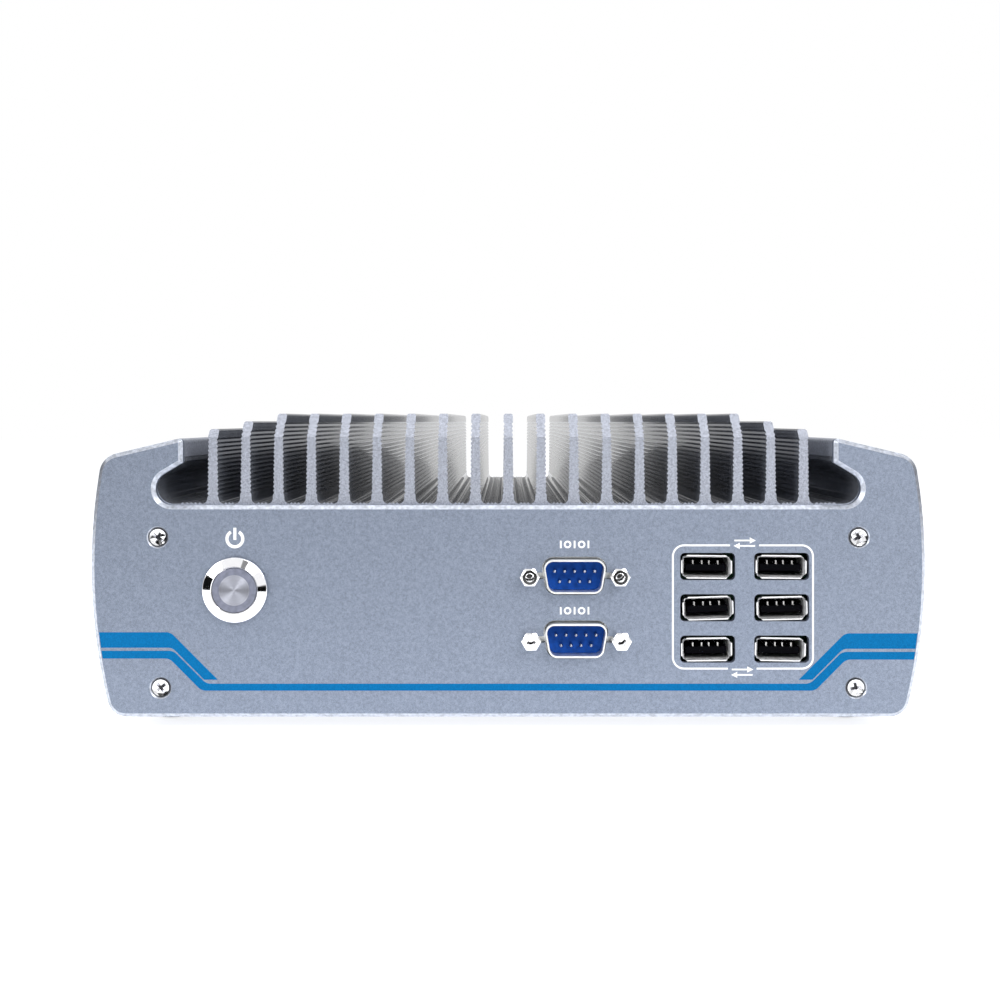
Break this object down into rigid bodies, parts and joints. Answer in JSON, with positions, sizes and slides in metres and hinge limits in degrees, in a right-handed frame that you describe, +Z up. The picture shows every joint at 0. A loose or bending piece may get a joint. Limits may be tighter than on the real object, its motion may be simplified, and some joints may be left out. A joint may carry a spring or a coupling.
{
  "type": "fanless industrial computer",
  "caption": "Fanless industrial computer: barrel-sided aluminium case under a serrated fin heat sink, with a round power button, serial ports and USB sockets in the front panel.",
  "frame": {"origin": "on the table under the middle of the case, level with the undersides of its feet", "axes": "+X to the right as seen from the front, +Y from the front panel to the rear one, +Z up"},
  "size_m": [0.2326, 0.2076, 0.0886],
  "materials": {
    "fin_aluminium": "bead-blasted clear anodised extrusion",
    "case_aluminium": "bead-blasted clear anodised extrusion",
    "panel_aluminium": "bead-blasted anodised plate with bright cut edges",
    "screw_steel": "nickel plated",
    "switch_chrome": "polished",
    "switch_steel": "turned",
    "light_ring": "milky",
    "black_rubber": "moulded",
    "plated_steel": "nickel plated",
    "black_plastic": "moulded",
    "blue_plastic": "moulded",
    "contact_brass": "tinned",
    "board_laminate": "solder-masked",
    "spacer_brass": "turned",
    "chip_plastic": "moulded",
    "pad_rubber": "soft pad",
    "spreader_copper": "milled copper",
    "drive_case": "satin"
  },
  "bodies": {
    "case": {"audio_jack_block": "black_plastic", "base_chassis": "case_aluminium", "digital_video_port": "plated_steel", "foot_front_left": "black_rubber", "foot_front_right": "black_rubber", "foot_rear_left": "black_rubber", "foot_rear_right": "black_rubber", "front_panel": "panel_aluminium", "front_panel_screws": "screw_steel", "front_serial_insert_lower": "blue_plastic", "front_serial_insert_upper": "blue_plastic", "front_serial_jackscrews": "plated_steel", "front_serial_pins": "contact_brass", "front_serial_shell_lower": "plated_steel", "front_serial_shell_upper": "plated_steel", "heat_sink_cover": "fin_aluminium", "heat_spreader": "spreader_copper", "memory_module": "board_laminate", "memory_socket": "black_plastic", "monitor_port_insert": "blue_plastic", "monitor_port_shell": "plated_steel", "motherboard": "board_laminate", "motherboard_screws": "screw_steel", "motherboard_spacers": "spacer_brass", "network_stack_can_left": "plated_steel", "network_stack_can_right": "plated_steel", "network_stack_insert_left": "black_plastic", "network_stack_insert_right": "black_plastic", "power_inlet": "black_plastic", "processor": "chip_plastic", "rear_jackscrews": "plated_steel", "rear_panel": "panel_aluminium", "rear_panel_screws": "screw_steel", "rear_serial_insert_left": "blue_plastic", "rear_serial_insert_right": "blue_plastic", "rear_serial_pins": "contact_brass", "rear_serial_shell_left": "plated_steel", "rear_serial_shell_right": "plated_steel", "solid_state_drive": "drive_case", "switch_bezel": "switch_chrome", "switch_contact_block": "black_plastic", "switch_gasket": "black_rubber", "switch_nut": "plated_steel", "thermal_pad": "pad_rubber", "usb_board": "board_laminate", "usb_board_spacers": "spacer_brass", "usb_insert_1": "black_plastic", "usb_insert_2": "black_plastic", "usb_insert_3": "black_plastic", "usb_insert_4": "black_plastic", "usb_insert_5": "black_plastic", "usb_insert_6": "black_plastic", "usb_shell_1": "plated_steel", "usb_shell_2": "plated_steel", "usb_shell_3": "plated_steel", "usb_shell_4": "plated_steel", "usb_shell_5": "plated_steel", "usb_shell_6": "plated_steel"},
    "power_button": {"switch_button": "switch_steel", "switch_light_ring": "light_ring"}
  },
  "joints": [
    {"name": "power_button_press", "type": "slide", "parent": "case", "child": "power_button", "axis": [0, 1, 0], "range_m": [0, 0.0025], "stiffness_N_per_m": 800, "springref_m": -0.002}
  ]
}
